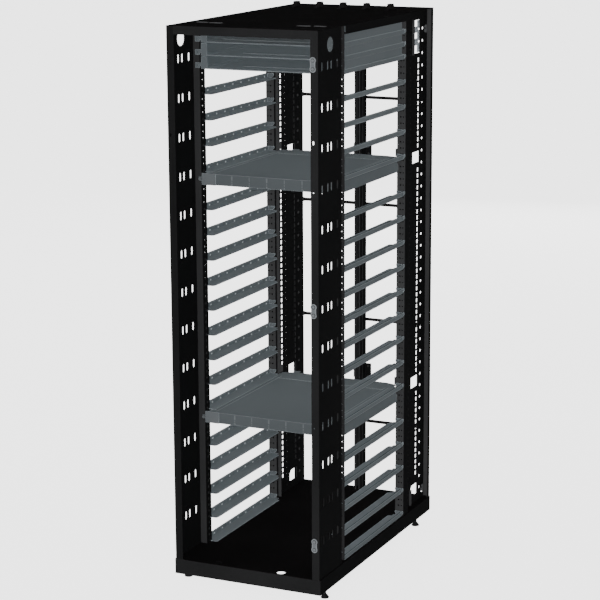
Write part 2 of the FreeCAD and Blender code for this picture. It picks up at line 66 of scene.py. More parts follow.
def paint(name, base, rough=0.55, spec=0.25, grain=0.00012, vary=0.18, edge=0.5,
          edge_wear_and_highlight_col=None, dust_and_top_light=0.0, dust_and_top_light_col=(0.2, 0.2, 0.2), metallic=0.0, radius=0.0022,
          front=1.0, front_deep=None, deep=-0.45):
    """Powder coat: fine orange peel, slow tone changes, edges lighter from rubbed wear and a painted edge
    highlight, and a little dust with painted light on faces that look up.
    front scales the tone of faces that look towards the front of the rack, front_deep
    that of the ones that lie deeper than deep, in metres of Y; both are painted light and shade."""
    m = bpy.data.materials.new(name)
    m.use_nodes = True
    nt = m.node_tree
    nt.nodes.clear()
    out = node(nt, "ShaderNodeOutputMaterial", 900, 0)
    sh = node(nt, "ShaderNodeBsdfPrincipled", 600, 0)
    nt.links.new(sh.outputs["BSDF"], out.inputs["Surface"])
    sh.inputs["Metallic"].default_value = metallic
    sh.inputs["Specular IOR Level"].default_value = spec
    tc = node(nt, "ShaderNodeTexCoord", -1200, 0)

    # slow tone variation over the sheet
    slow = node(nt, "ShaderNodeTexNoise", -900, 300)
    slow.inputs["Scale"].default_value = 3.2
    slow.inputs["Detail"].default_value = 5.0
    nt.links.new(tc.outputs["Object"], slow.inputs["Vector"])
    fine = node(nt, "ShaderNodeTexNoise", -900, 60)
    fine.inputs["Scale"].default_value = 420.0
    fine.inputs["Detail"].default_value = 3.0
    nt.links.new(tc.outputs["Object"], fine.inputs["Vector"])
    ramp = node(nt, "ShaderNodeMapRange", -640, 300)
    ramp.inputs["From Min"].default_value = 0.3
    ramp.inputs["From Max"].default_value = 0.7
    ramp.inputs["To Min"].default_value = 1.0 - vary
    ramp.inputs["To Max"].default_value = 1.0 + vary
    nt.links.new(slow.outputs["Fac"], ramp.inputs["Value"])
    speck = node(nt, "ShaderNodeMapRange", -640, 60)
    speck.inputs["From Min"].default_value = 0.35
    speck.inputs["From Max"].default_value = 0.65
    speck.inputs["To Min"].default_value = 1.0 - vary * 0.5
    speck.inputs["To Max"].default_value = 1.0 + vary * 0.5
    nt.links.new(fine.outputs["Fac"], speck.inputs["Value"])
    mul = node(nt, "ShaderNodeMath", -440, 220)
    mul.operation = "MULTIPLY"
    nt.links.new(ramp.outputs["Result"], mul.inputs[0])
    nt.links.new(speck.outputs["Result"], mul.inputs[1])
    tone = node(nt, "ShaderNodeVectorMath", -240, 220)
    tone.operation = "SCALE"
    tone.inputs[0].default_value = base
    geo = node(nt, "ShaderNodeNewGeometry", -900, -460)
    if front != 1.0 or front_deep is not None:
        # painted light and shade: faces towards the front are scaled darker or lighter than the coat, the
        # deeper ones by front_deep
        sepf = node(nt, "ShaderNodeSeparateXYZ", -640, 520)
        nt.links.new(geo.outputs["Normal"], sepf.inputs[0])
        painted_front_shade_mask = node(nt, "ShaderNodeMapRange", -440, 520)
        painted_front_shade_mask.inputs["From Min"].default_value = -0.5
        painted_front_shade_mask.inputs["From Max"].default_value = -0.9
        painted_front_shade_mask.inputs["To Min"].default_value = 0.0
        painted_front_shade_mask.inputs["To Max"].default_value = 1.0
        nt.links.new(sepf.outputs["Y"], painted_front_shade_mask.inputs["Value"])
        sepd = node(nt, "ShaderNodeSeparateXYZ", -900, 760)
        nt.links.new(tc.outputs["Object"], sepd.inputs[0])
        painted_deep_front_light = node(nt, "ShaderNodeMapRange", -640, 760)
        painted_deep_front_light.inputs["From Min"].default_value = deep
        painted_deep_front_light.inputs["From Max"].default_value = deep + 0.08
        painted_deep_front_light.inputs["To Min"].default_value = front
        painted_deep_front_light.inputs["To Max"].default_value = front if front_deep is None else front_deep
        nt.links.new(sepd.outputs["Y"], painted_deep_front_light.inputs["Value"])
        md = node(nt, "ShaderNodeMix", -440, 700)
        md.data_type = "FLOAT"
        md.inputs[2].default_value = 1.0
        nt.links.new(painted_front_shade_mask.outputs["Result"], md.inputs[0])
        nt.links.new(painted_deep_front_light.outputs["Result"], md.inputs[3])
        mf = node(nt, "ShaderNodeMath", -340, 360)
        mf.operation = "MULTIPLY"
        nt.links.new(mul.outputs["Value"], mf.inputs[0])
        nt.links.new(md.outputs[0], mf.inputs[1])
        nt.links.new(mf.outputs["Value"], tone.inputs["Scale"])
    else:
        nt.links.new(mul.outputs["Value"], tone.inputs["Scale"])
    col = tone.outputs["Vector"]

    # edges lighter: rubbed wear, mottled by noise, and a painted highlight where the edges catch the light
    bev = node(nt, "ShaderNodeBevel", -900, -260)
    bev.samples = 4
    bev.inputs["Radius"].default_value = radius
    dot = node(nt, "ShaderNodeVectorMath", -640, -300)
    dot.operation = "DOT_PRODUCT"
    nt.links.new(bev.outputs["Normal"], dot.inputs[0])
    nt.links.new(geo.outputs["Normal"], dot.inputs[1])
    edge_highlight_ramp = node(nt, "ShaderNodeMapRange", -440, -300)
    edge_highlight_ramp.inputs["From Min"].default_value = 0.995
    edge_highlight_ramp.inputs["From Max"].default_value = 0.86
    edge_highlight_ramp.inputs["To Min"].default_value = 0.0
    edge_highlight_ramp.inputs["To Max"].default_value = edge
    nt.links.new(dot.outputs["Value"], edge_highlight_ramp.inputs["Value"])
    wear = node(nt, "ShaderNodeTexNoise", -900, -640)
    wear.inputs["Scale"].default_value = 26.0
    wear.inputs["Detail"].default_value = 4.0
    nt.links.new(tc.outputs["Object"], wear.inputs["Vector"])
    wr = node(nt, "ShaderNodeMapRange", -640, -640)
    wr.inputs["From Min"].default_value = 0.38
    wr.inputs["From Max"].default_value = 0.62
    wr.inputs["To Min"].default_value = 0.45
    wr.inputs["To Max"].default_value = 1.0
    nt.links.new(wear.outputs["Fac"], wr.inputs["Value"])
    edge_wear_and_highlight_mask = node(nt, "ShaderNodeMath", -240, -300)
    edge_wear_and_highlight_mask.operation = "MULTIPLY"
    nt.links.new(edge_highlight_ramp.outputs["Result"], edge_wear_and_highlight_mask.inputs[0])
    nt.links.new(wr.outputs["Result"], edge_wear_and_highlight_mask.inputs[1])
    edge_wear_and_highlight_mix = node(nt, "ShaderNodeMix", 0, 120)
    edge_wear_and_highlight_mix.data_type = "RGBA"
    edge_wear_and_highlight_tone = edge_wear_and_highlight_col if edge_wear_and_highlight_col else tuple(min(1.0, c * 2.6 + 0.02) for c in base)
    edge_wear_and_highlight_mix.inputs[7].default_value = (edge_wear_and_highlight_tone[0], edge_wear_and_highlight_tone[1], edge_wear_and_highlight_tone[2], 1.0)
    nt.links.new(edge_wear_and_highlight_mask.outputs["Value"], edge_wear_and_highlight_mix.inputs[0])
    nt.links.new(col, edge_wear_and_highlight_mix.inputs[6])
    last = edge_wear_and_highlight_mix.outputs[2]

    if dust_and_top_light > 0:
        # a thin film of dust on faces that look up, lighter than the coat: dust and painted top light
        sep = node(nt, "ShaderNodeSeparateXYZ", -640, -900)
        nt.links.new(geo.outputs["Normal"], sep.inputs[0])
        up = node(nt, "ShaderNodeMapRange", -440, -900)
        up.inputs["From Min"].default_value = 0.6
        up.inputs["From Max"].default_value = 1.0
        up.inputs["To Min"].default_value = 0.0
        up.inputs["To Max"].default_value = dust_and_top_light
        nt.links.new(sep.outputs["Z"], up.inputs["Value"])
        dust_and_top_light_mask = node(nt, "ShaderNodeMath", -240, -800)
        dust_and_top_light_mask.operation = "MULTIPLY"
        nt.links.new(up.outputs["Result"], dust_and_top_light_mask.inputs[0])
        nt.links.new(wr.outputs["Result"], dust_and_top_light_mask.inputs[1])
        mixd = node(nt, "ShaderNodeMix", 200, 120)
        mixd.data_type = "RGBA"
        mixd.inputs[7].default_value = (*dust_and_top_light_col, 1.0)
        nt.links.new(dust_and_top_light_mask.outputs["Value"], mixd.inputs[0])
        nt.links.new(last, mixd.inputs[6])
        last = mixd.outputs[2]
    nt.links.new(last, sh.inputs["Base Color"])

    # roughness follows the same slow pattern
    rr = node(nt, "ShaderNodeMapRange", 200, -160)
    rr.inputs["From Min"].default_value = 0.3
    rr.inputs["From Max"].default_value = 0.7
    rr.inputs["To Min"].default_value = rough - 0.07
    rr.inputs["To Max"].default_value = rough + 0.07
    nt.links.new(slow.outputs["Fac"], rr.inputs["Value"])
    nt.links.new(rr.outputs["Result"], sh.inputs["Roughness"])

    bump = node(nt, "ShaderNodeBump", 300, -420)
    bump.inputs["Strength"].default_value = 0.45
    bump.inputs["Distance"].default_value = grain
    nt.links.new(fine.outputs["Fac"], bump.inputs["Height"])
    nt.links.new(bump.outputs["Normal"], sh.inputs["Normal"])
    return m


def metal(name, base, rough=0.35, stretch=(60.0, 60.0, 900.0), vary=0.12, grain=0.00005,
          metallic=1.0):
    """Plated steel: fine drawn lines, uneven roughness and darker patches."""
    m = bpy.data.materials.new(name)
    m.use_nodes = True
    nt = m.node_tree
    nt.nodes.clear()
    out = node(nt, "ShaderNodeOutputMaterial", 900, 0)
    sh = node(nt, "ShaderNodeBsdfPrincipled", 600, 0)
    nt.links.new(sh.outputs["BSDF"], out.inputs["Surface"])
    sh.inputs["Metallic"].default_value = metallic
    tc = node(nt, "ShaderNodeTexCoord", -1200, 0)
    mp = node(nt, "ShaderNodeMapping", -1000, 0)
    mp.inputs["Scale"].default_value = stretch
    nt.links.new(tc.outputs["Object"], mp.inputs["Vector"])
    line = node(nt, "ShaderNodeTexNoise", -760, 0)
    line.inputs["Scale"].default_value = 1.0
    line.inputs["Detail"].default_value = 4.0
    nt.links.new(mp.outputs["Vector"], line.inputs["Vector"])
    blot = node(nt, "ShaderNodeTexNoise", -760, 260)
    blot.inputs["Scale"].default_value = 90.0
    blot.inputs["Detail"].default_value = 4.0
    nt.links.new(tc.outputs["Object"], blot.inputs["Vector"])
    add = node(nt, "ShaderNodeMath", -520, 160)
    add.operation = "ADD"
    nt.links.new(line.outputs["Fac"], add.inputs[0])
    nt.links.new(blot.outputs["Fac"], add.inputs[1])
    r = node(nt, "ShaderNodeMapRange", -320, 160)
    r.inputs["From Min"].default_value = 0.7
    r.inputs["From Max"].default_value = 1.3
    r.inputs["To Min"].default_value = 1.0 - vary
    r.inputs["To Max"].default_value = 1.0 + vary
    nt.links.new(add.outputs["Value"], r.inputs["Value"])
    t = node(nt, "ShaderNodeVectorMath", -100, 160)
    t.operation = "SCALE"
    t.inputs[0].default_value = base
    nt.links.new(r.outputs["Result"], t.inputs["Scale"])
    nt.links.new(t.outputs["Vector"], sh.inputs["Base Color"])
    rr = node(nt, "ShaderNodeMapRange", -320, -120)
    rr.inputs["From Min"].default_value = 0.7
    rr.inputs["From Max"].default_value = 1.3
    rr.inputs["To Min"].default_value = rough - 0.08
    rr.inputs["To Max"].default_value = rough + 0.1
    nt.links.new(add.outputs["Value"], rr.inputs["Value"])
    nt.links.new(rr.outputs["Result"], sh.inputs["Roughness"])
    b = node(nt, "ShaderNodeBump", 200, -300)
    b.inputs["Strength"].default_value = 0.35
    b.inputs["Distance"].default_value = grain
    nt.links.new(line.outputs["Fac"], b.inputs["Height"])
    nt.links.new(b.outputs["Normal"], sh.inputs["Normal"])
    return m


# front, front_deep and deep below paint light and shade into the tone of faces that look to the front; the
# edge colours give rubbed wear with a painted edge highlight
BLACK = paint("black_coat", (0.0160, 0.0162, 0.0166), rough=0.62, spec=0.012, vary=0.14,
              edge=0.5, edge_wear_and_highlight_col=(0.032, 0.033, 0.034), front_deep=1.5)
# a darker copy of the black coat for the roof, floor panel, roof ties, rear cross bars and roof bolts:
# painted shade
BLACK_SHADED = paint("black_coat_painted_shade", (0.0095, 0.0088, 0.0090), rough=0.66, spec=0.006,
                   vary=0.2, edge=0.5, edge_wear_and_highlight_col=(0.019, 0.019, 0.020))
BLACK_BOX = paint("black_housing", (0.0135, 0.0135, 0.014), rough=0.6, spec=0.012, vary=0.16,
                  edge=0.6, edge_wear_and_highlight_col=(0.036, 0.036, 0.038), front=0.42)
BLACK_RIB_HIGHLIGHT = paint("black_housing_rib_highlight", (0.048, 0.048, 0.050), rough=0.6, spec=0.012, vary=0.12,
                  edge=0.4, edge_wear_and_highlight_col=(0.07, 0.07, 0.072), front=0.75)
RAIL = paint("rail_grey", (0.235, 0.266, 0.284), rough=0.55, spec=0.08, vary=0.07, edge=0.9,
             edge_wear_and_highlight_col=(0.36, 0.40, 0.425), radius=0.0030, front=0.34)
RAIL_PLAIN = paint("rail_screw_grey", (0.20, 0.226, 0.242), rough=0.5, spec=0.10, vary=0.07,
                   edge=0.25, edge_wear_and_highlight_col=(0.30, 0.33, 0.35), radius=0.0006, front=0.34)
RAIL_HEM_HIGHLIGHT = paint("rail_hem_highlight_grey", (0.40, 0.45, 0.475), rough=0.5, spec=0.10, vary=0.07,
                 edge=0.2, edge_wear_and_highlight_col=(0.50, 0.55, 0.58), radius=0.0006, front=0.30)
RAIL_EDGE = paint("rail_edge_grey", (0.085, 0.096, 0.102), rough=0.5, spec=0.06, vary=0.07,
                  edge=0.2, edge_wear_and_highlight_col=(0.10, 0.112, 0.118), radius=0.0006, front=0.34)
RAIL_DIMPLE_HIGHLIGHT = paint("rail_dimple", (0.78, 0.83, 0.86), rough=0.5, spec=0.15, vary=0.07, edge=0.2,
                 edge_wear_and_highlight_col=(0.82, 0.86, 0.88), radius=0.0006)
SHELF = paint("shelf_grey", (0.205, 0.232, 0.247), rough=0.55, spec=0.08, vary=0.06, edge=0.7,
              edge_wear_and_highlight_col=(0.33, 0.37, 0.39), dust_and_top_light=0.08, dust_and_top_light_col=(0.22, 0.24, 0.25),
              radius=0.0030, front=0.34)
SHELF_LIGHT = paint("shelf_end_grey", (0.098, 0.107, 0.113), rough=0.5, spec=0.10, vary=0.08,
                    edge=0.6, edge_wear_and_highlight_col=(0.14, 0.15, 0.158), radius=0.002)
RIB = paint("shelf_rib_grey", (0.118, 0.130, 0.137), rough=0.5, spec=0.10, vary=0.08,
            edge=0.5, edge_wear_and_highlight_col=(0.16, 0.173, 0.18), radius=0.0008)
LINE_HIGHLIGHT = paint("shelf_fold_highlight_grey", (0.40, 0.44, 0.46), rough=0.5, spec=0.10, vary=0.08,
             edge=0.3, edge_wear_and_highlight_col=(0.45, 0.49, 0.51), radius=0.0006, front=0.3)
TRAY = paint("tray_grey", (0.235, 0.266, 0.284), rough=0.55, spec=0.08, vary=0.07, edge=0.6,
             edge_wear_and_highlight_col=(0.35, 0.39, 0.41), dust_and_top_light=0.08, dust_and_top_light_col=(0.25, 0.27, 0.28),
             radius=0.0030, front=0.38, front_deep=0.335, deep=-0.25)
CLIP = paint("clip_grey", (0.64, 0.70, 0.745), rough=0.45, spec=0.25, vary=0.10, edge=0.6,
             edge_wear_and_highlight_col=(0.80, 0.84, 0.87), radius=0.0015)
TAB_PAINTED_LIGHT = paint("tab_painted_light_grey", (0.060, 0.062, 0.064), rough=0.55, spec=0.05, vary=0.12, edge=0.5,
            edge_wear_and_highlight_col=(0.10, 0.103, 0.106), radius=0.0012)
MARK_HIGHLIGHT = paint("roof_lip_highlight_grey", (0.100, 0.102, 0.105), rough=0.55, spec=0.05, vary=0.12, edge=0.3,
             edge_wear_and_highlight_col=(0.13, 0.132, 0.135), radius=0.0008)
SILVER = metal("hinge_plate_steel", (0.170, 0.183, 0.195), rough=0.5, metallic=0.35)
HEM_HIGHLIGHT = metal("hinge_rim_highlight_steel", (0.32, 0.340, 0.355), rough=0.42, metallic=0.35)
BOLT = metal("hinge_screw_steel", (0.23, 0.245, 0.256), rough=0.42, metallic=0.35)
RECESS_SHADE = metal("hinge_ring_painted_shade", (0.060, 0.064, 0.068), rough=0.55, metallic=0.35)
SCREW = metal("screw_steel", (0.13, 0.14, 0.147), rough=0.45, metallic=0.35)
FOOT = paint("foot_black", (0.013, 0.013, 0.0135), rough=0.45, spec=0.3, vary=0.2, edge=0.7,
             edge_wear_and_highlight_col=(0.05, 0.05, 0.052))
RUBBER = paint("foot_rubber", (0.022, 0.022, 0.023), rough=0.85, spec=0.1, vary=0.25, edge=0.3,
               edge_wear_and_highlight_col=(0.05, 0.05, 0.05), grain=0.0003)
COND = metal("conductor_tin", (0.07, 0.07, 0.072), rough=0.5, metallic=0.6,
             stretch=(900.0, 900.0, 30.0))

RULES = [("support_rails", RAIL), ("rear_clip", CLIP), ("shelf", SHELF), ("tray", TRAY), ("hinge", SILVER),
         ("thumb", SCREW), ("levelling", FOOT), ("bus_bar_conductors", COND),
         ("bus_bar", BLACK_BOX), ("roof_panel", BLACK_SHADED), ("floor_panel", BLACK_SHADED),
         ("roof_tie", BLACK_SHADED), ("rear_cross", BLACK_SHADED)]
# copies of the black coat for the left and rear posts whose front faces are painted darker near the front
# and lighter deeper in: painted light and shade
BLACK_LEFT_LIT_AND_SHADED = paint("black_coat_left", (0.0150, 0.0152, 0.0156), rough=0.62, spec=0.012, vary=0.14,
                   edge=0.5, edge_wear_and_highlight_col=(0.030, 0.031, 0.032), front=0.68, front_deep=1.68)
BLACK_REAR_LIT = paint("black_coat_rear", (0.0160, 0.0162, 0.0166), rough=0.62, spec=0.012, vary=0.14,
                   edge=0.5, edge_wear_and_highlight_col=(0.032, 0.033, 0.034), front_deep=2.3)
RULES += [("front_left_post", BLACK_LEFT_LIT_AND_SHADED), ("rear_left_post", BLACK_REAR_LIT),
          ("rear_right_post", BLACK_REAR_LIT)]
for name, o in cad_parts.items():
    mat = BLACK
    for key, mm_ in RULES:
        if name.startswith(key):
            mat = mm_
            break
    if not o.material_slots:
        o.data.materials.append(mat)
    for s in o.material_slots:
        s.material = mat


# ---------------------------------------------------------------- mesh helpers
def piece(name, bm, mat, smooth=False):
    me = bpy.data.meshes.new(name)
    bmesh.ops.recalc_face_normals(bm, faces=bm.faces)
    bm.to_mesh(me)
    bm.free()
    if smooth:
        for p in me.polygons:
            p.use_smooth = True
    me.materials.append(mat)
    o = bpy.data.objects.new(name, me)
    bpy.context.scene.collection.objects.link(o)
    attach(o, "root")
    return o


def lathe(bm, prof, origin, axis, seg=20, phase=0.0):
    """Turns prof, (radius, height) in mm, round axis from origin. Closed at both ends."""
    axis = Vector(axis).normalized()
    ref = Vector((0, 0, 1)) if abs(axis.z) < 0.9 else Vector((1, 0, 0))
    u = axis.cross(ref).normalized()
    v = axis.cross(u)
    rings = []
    for r, h in prof:
        if r < 1e-6:
            rings.append([bm.verts.new(origin + axis * h * MM)])
            continue
        ring = []
        for i in range(seg):
            a = 2 * math.pi * i / seg + phase
            ring.append(bm.verts.new(origin + axis * h * MM
                                     + (u * math.cos(a) + v * math.sin(a)) * r * MM))
        rings.append(ring)
    for a, b in zip(rings, rings[1:]):
        if len(a) == 1 and len(b) == 1:
            continue
        for i in range(seg):
            j = (i + 1) % seg
            if len(a) == 1:
                bm.faces.new((a[0], b[j], b[i]))
            elif len(b) == 1:
                bm.faces.new((a[i], a[j], b[0]))
            else:
                bm.faces.new((a[i], a[j], b[j], b[i]))
    for ring, flip in ((rings[0], True), (rings[-1], False)):
        if len(ring) > 1:
            bm.faces.new(ring[::-1] if flip else ring)


def socket_screw(bm, origin, axis, r=4.5, h=2.2, sock=2.0, seg=20):
    """Round head with a hexagon socket. origin is under the head, axis points out."""
    axis = Vector(axis).normalized()
    ref = Vector((0, 0, 1)) if abs(axis.z) < 0.9 else Vector((1, 0, 0))
    u = axis.cross(ref).normalized()
    v = axis.cross(u)
    n = 18

    def ring(rad, hh, hexa=False):
        out = []
        for i in range(n):
            a = 2 * math.pi * i / n
            rr = rad
            if hexa:
                b = (a % (math.pi / 3)) - math.pi / 6
                rr = rad * math.cos(math.pi / 6) / math.cos(b)
            out.append(bm.verts.new(origin + axis * hh * MM
                                    + (u * math.cos(a) + v * math.sin(a)) * rr * MM))
        return out
    rs = [ring(r, 0), ring(r, h * 0.45), ring(r * 0.93, h * 0.75), ring(r * 0.78, h * 0.94),
          ring(r * 0.6, h), ring(sock, h, True), ring(sock, h * 0.35, True)]
    for a, b in zip(rs, rs[1:]):
        for i in range(n):
            j = (i + 1) % n
            bm.faces.new((a[i], a[j], b[j], b[i]))
    bm.faces.new(rs[0][::-1])
    bm.faces.new(rs[-1])


def slab(bm, x0, x1, y0, y1, z0, z1, bevel=0.4):
    """Small plate with its edges broken, in mm."""
    start = set(bm.verts)
    a, b = P(x0, y0, z0), P(x1, y1, z1)
    r = bmesh.ops.create_cube(bm, size=1.0)
    vs = r["verts"]
    for v in vs:
        v.co = Vector((a.x + (v.co.x + 0.5) * (b.x - a.x), a.y + (v.co.y + 0.5) * (b.y - a.y),
                       a.z + (v.co.z + 0.5) * (b.z - a.z)))
    if bevel:
        es = {e for v in vs for e in v.link_edges}
        bmesh.ops.bevel(bm, geom=list(es), offset=bevel * MM, segments=2, affect="EDGES",
                        profile=0.5)


RAIL_LEVELS = [40, 39, 38, 36, 34, 32, 30, 27, 25, 23, 21, 19, 17, 15, 13, 11, 8, 6, 4, 2, 0]
TRAY_LEVELS = [40, 39, 38]
SHELF_LEVELS = [("upper", 29), ("lower", 10)]

# ----------------------------------------------------------------- fine pieces
# screws that hold the rear ends of the rails
bm = bmesh.new()
for n in RAIL_LEVELS:
    for s in (-1, 1):
        socket_screw(bm, P(s * 276.5, 811.0, level(n) + 9.0), (0, -1, 0), r=4.3, h=2.0, sock=1.9)
piece("rail_rear_screws", bm, RAIL_PLAIN)

# rounded hems along the edges of the rails, painted much lighter than the rail as a painted highlight
# along those edges
bm = bmesh.new()
for n in RAIL_LEVELS:
    z = level(n)
    for s in (-1, 1):
        top = (288.6, 291.4, 246.0, 808.0, z + 13.6, z + 15.8)
        for x0, x1, y0, y1, z0, z1 in (top,) if n in TRAY_LEVELS else (
                top, (240.6, 243.0, 246.0, 784.0, z - 0.2, z + 0.5),
                (290.8, 291.4, 246.0, 808.0, z - 1.6, z + 0.4)):
            xa, xb = sorted((s * x0, s * x1))
            slab(bm, xa, xb, y0, y1, z0, z1, bevel=0.25)
piece("rail_hem_highlights", bm, RAIL_HEM_HIGHLIGHT)

# rolled edges of the rails: top of the upright side, its foot and the inner edge
bm = bmesh.new()
for n in RAIL_LEVELS:
    if n in TRAY_LEVELS:
        continue
    z = level(n)
    for s in (-1, 1):
        for x0, x1, y0, y1, z0, z1 in ((288.8, 291.3, 246.0, 808.0, z + 16.0, z + 17.7),
                                       (288.8, 291.3, 246.0, 808.0, z - 3.3, z - 1.8),
                                       (239.4, 240.8, 246.0, 784.0, z - 2.5, z - 0.5)
                                       )[:2 if n in (11, 30) else 3]:
            xa, xb = sorted((s * x0, s * x1))
            slab(bm, xa, xb, y0, y1, z0, z1, bevel=0.4)
piece("rail_rolled_edges", bm, RAIL_EDGE)

# small pressed dimples along the inner face of each rail, painted near white as a painted highlight
bm = bmesh.new()
for n in RAIL_LEVELS:
    for s in (-1, 1):
        for i in range(8):
            yc, zc = 302.0 + 69.0 * i, level(n) + 5.6
            rings = []
            for d, w, h in ((0.0, 5.2, 3.4), (0.5, 4.9, 3.1), (0.9, 3.6, 2.1), (1.1, 1.8, 1.0)):
                rings.append([bm.verts.new(P(s * (289.0 - d), yc + w * math.cos(a),
                                             zc + h * math.sin(a)))
                              for a in [2 * math.pi * k / 14 for k in range(14)]])
            for ra, rb in zip(rings, rings[1:]):
                for k in range(14):
                    bm.faces.new((ra[k], ra[(k + 1) % 14], rb[(k + 1) % 14], rb[k]))
            bm.faces.new(rings[0][::-1])
            bm.faces.new(rings[-1])
piece("rail_dimples", bm, RAIL_DIMPLE_HIGHLIGHT)

# rounded tabs with a screw, seen in the cut-outs beside the right rear flange; painted lighter than the
# black coat as painted light, since they sit in the shade of the web
bm = bmesh.new()
bs = bmesh.new()
for s in (1,):
    for zc in (1975.0, 93.0):
        pts = [(s * 268.6, zc - 15.0), (s * 268.6, zc + 15.0)]
        for k in range(13):
            a = math.pi / 2 + math.pi * k / 12
            pts.append((s * (261.0 + 7.0 * math.cos(a)), zc + 15.0 * math.sin(a)))
        fr = [bm.verts.new(P(x, 1094.6, z)) for x, z in pts]
        bk = [bm.verts.new(P(x, 1096.0, z)) for x, z in pts]
        for k in range(len(fr)):
            j = (k + 1) % len(fr)
            bm.faces.new((fr[k], fr[j], bk[j], bk[k]))
        bm.faces.new(fr)
        bm.faces.new(bk[::-1])
        socket_screw(bs, P(s * 262.5, 1094.6, zc), (0, -1, 0), r=4.6, h=1.6, sock=2.1)
piece("rear_tabs", bm, TAB_PAINTED_LIGHT)
piece("rear_tab_screws", bs, FOOT)

# screws in the front lip, one for each rail
bm = bmesh.new()
for n in RAIL_LEVELS:
    for s in (-1, 1):
        socket_screw(bm, P(s * 281.0, 240.0, level(n) + 4.0), (0, -1, 0), r=5.0, h=2.4, sock=2.2)
piece("rail_front_screws", bm, FOOT)

# screws in the ears of the trays
bm = bmesh.new()
for n in TRAY_LEVELS:
    for s in (-1, 1):
        socket_screw(bm, P(s * 277.0, 199.5, level(n) + 12.5), (0, -1, 0), r=4.6, h=2.4, sock=2.1)
piece("tray_ear_screws", bm, RAIL_PLAIN)

# low folds pressed in the floors of the trays, the floor folds painted light as a painted highlight on the
# bend
bm = bmesh.new()
bs = bmesh.new()
for n in TRAY_LEVELS:
    zf = level(n) + 1.5
    wide = 226.0 if n == 40 else 146.0
    slab(bm, -wide, wide, 312.0, 315.0, zf - 0.2, zf + 1.7, bevel=0.4)
    for s in (-1, 1):
        x0, x1 = sorted((s * 237.0, s * 239.5))
        slab(bs, x0, x1, 204.0, 505.0, zf - 0.2, zf + 1.6, bevel=0.4)
piece("tray_floor_folds", bm, LINE_HIGHLIGHT)
piece("tray_side_folds", bs, RAIL)

# upright ribs on the front lip of each shelf
for nm, n in SHELF_LEVELS:
    zl = level(n)
    bm = bmesh.new()
    for k in range(-2, 3):
        x = 71.0 * k
        w = 3.0 if k in (-2, 0) else 1.8
        slab(bm, x - w, x + w, 198.9, 199.5, zl + 26.0, zl + 42.0, bevel=0.25)
        slab(bm, x - 1.6, x + 1.6, 198.9, 199.5, zl + 16.0, zl + 23.0, bevel=0.25)
        slab(bm, x - w, x + w, 198.9, 199.5, zl + 6.5, zl + 13.0, bevel=0.25)
    piece("shelf_ribs_" + nm, bm, RIB)

# top edge of the lip, folds along the sides and raised rims round the row of slots; the lip edge strip,
# the folds and the rims are painted lighter than the shelf as painted highlights
for nm, n in SHELF_LEVELS:
    zt = level(n) + 46.0
    bm = bmesh.new()
    slab(bm, -209.0, 209.0, 198.7, 199.6, zt - 1.9, zt + 0.2, bevel=0.25)
    piece("shelf_lip_edge_highlight_" + nm, bm, RIB)
    bm = bmesh.new()
    for s in (-1, 1):
        for x, ya, yb in ((226.0, 212.0, 792.0), (251.0, 212.0, 800.0)):
            x0, x1 = sorted((s * (x - 1.0), s * (x + 1.0)))
            slab(bm, x0, x1, ya, yb, zt - 0.2, zt + 0.6, bevel=0.3)
    for k in range(33):
        x = -224.0 + 14.0 * k
        outer, inner, rings = [], [], []
        for y_off, grow in ((-0.1, 1.9), (0.5, 1.6), (0.5, 0.5), (-0.1, 0.3)):
            ring = []
            for i in range(16):
                a = 2 * math.pi * i / 16
                r = 2.0 + grow
                cx = x + (1.5 if math.cos(a) > 0 else -1.5)
                ring.append(bm.verts.new(P(cx + r * math.cos(a), 760.0 + r * math.sin(a),
                                           zt + y_off)))
            rings.append(ring)
        for ra, rb in zip(rings, rings[1:] + rings[:1]):
            for i in range(16):
                j = (i + 1) % 16
                bm.faces.new((ra[i], ra[j], rb[j], rb[i]))
    piece("shelf_folds_" + nm, bm, LINE_HIGHLIGHT)

# bolts on the feet of the roof brackets
bm = bmesh.new()
for i in range(5):
    for y in (909.0, 971.0):
        lathe(bm, [(5.0, 0), (5.0, 0.9), (0, 0.9)], P((i - 2) * 100.0 - 20.0, y, 2059.0), (0, 0, 1))
        lathe(bm, [(4.0, 0.9), (4.0, 3.6), (3.5, 4.0), (0, 4.0)],
              P((i - 2) * 100.0 - 20.0, y, 2059.0), (0, 0, 1), seg=6)
piece("roof_bracket_bolts", bm, BLACK_SHADED)

# levelling feet: pad and cone, threaded stem, lock nut with its corners broken
FOOT_BODY = [(0.0, -34.0), (15.2, -34.0), (15.5, -33.6), (15.5, -30.4), (15.1, -29.8),
             (13.9, -28.4), (13.2, -27.6), (10.6, -23.6), (7.9, -20.0), (7.0, -19.0),
             (6.4, -18.5), (4.9, -18.2)]
for nm, x, y in (("front_left", -284.0, 76.0), ("front_right", 284.0, 76.0),
                 ("rear_left", -284.0, 978.0), ("rear_right", 284.0, 978.0)):
    bm = bmesh.new()
    prof = list(FOOT_BODY)
    z = -17.9
    while z < -9.6:
        prof += [(4.9, z), (5.35, z + 0.45), (5.35, z + 0.6), (4.9, z + 1.05)]
        z += 1.25
    prof += [(4.9, 28.8), (4.2, 30.0), (0.0, 30.0)]
    lathe(bm, prof, P(x, y, 0.0), (0, 0, 1), seg=36)
    lathe(bm, [(7.4, -8.0), (9.2, -7.2), (9.2, -0.9), (7.6, -0.1)], P(x, y, 0.0), (0, 0, 1),
          seg=6)
    o = piece("foot_detail_" + nm, bm, FOOT)
    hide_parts("levelling_foot_" + nm)

# rubber skins round the foot pads
bm = bmesh.new()
for x in (-284.0, 284.0):
    for y in (76.0, 978.0):
        lathe(bm, [(15.3, -34.0), (15.85, -33.5), (15.95, -32.6), (15.95, -31.4), (15.7, -30.7),
                   (15.0, -30.4)], P(x, y, 0.0), (0, 0, 1), seg=36)
piece("foot_pads", bm, RUBBER)

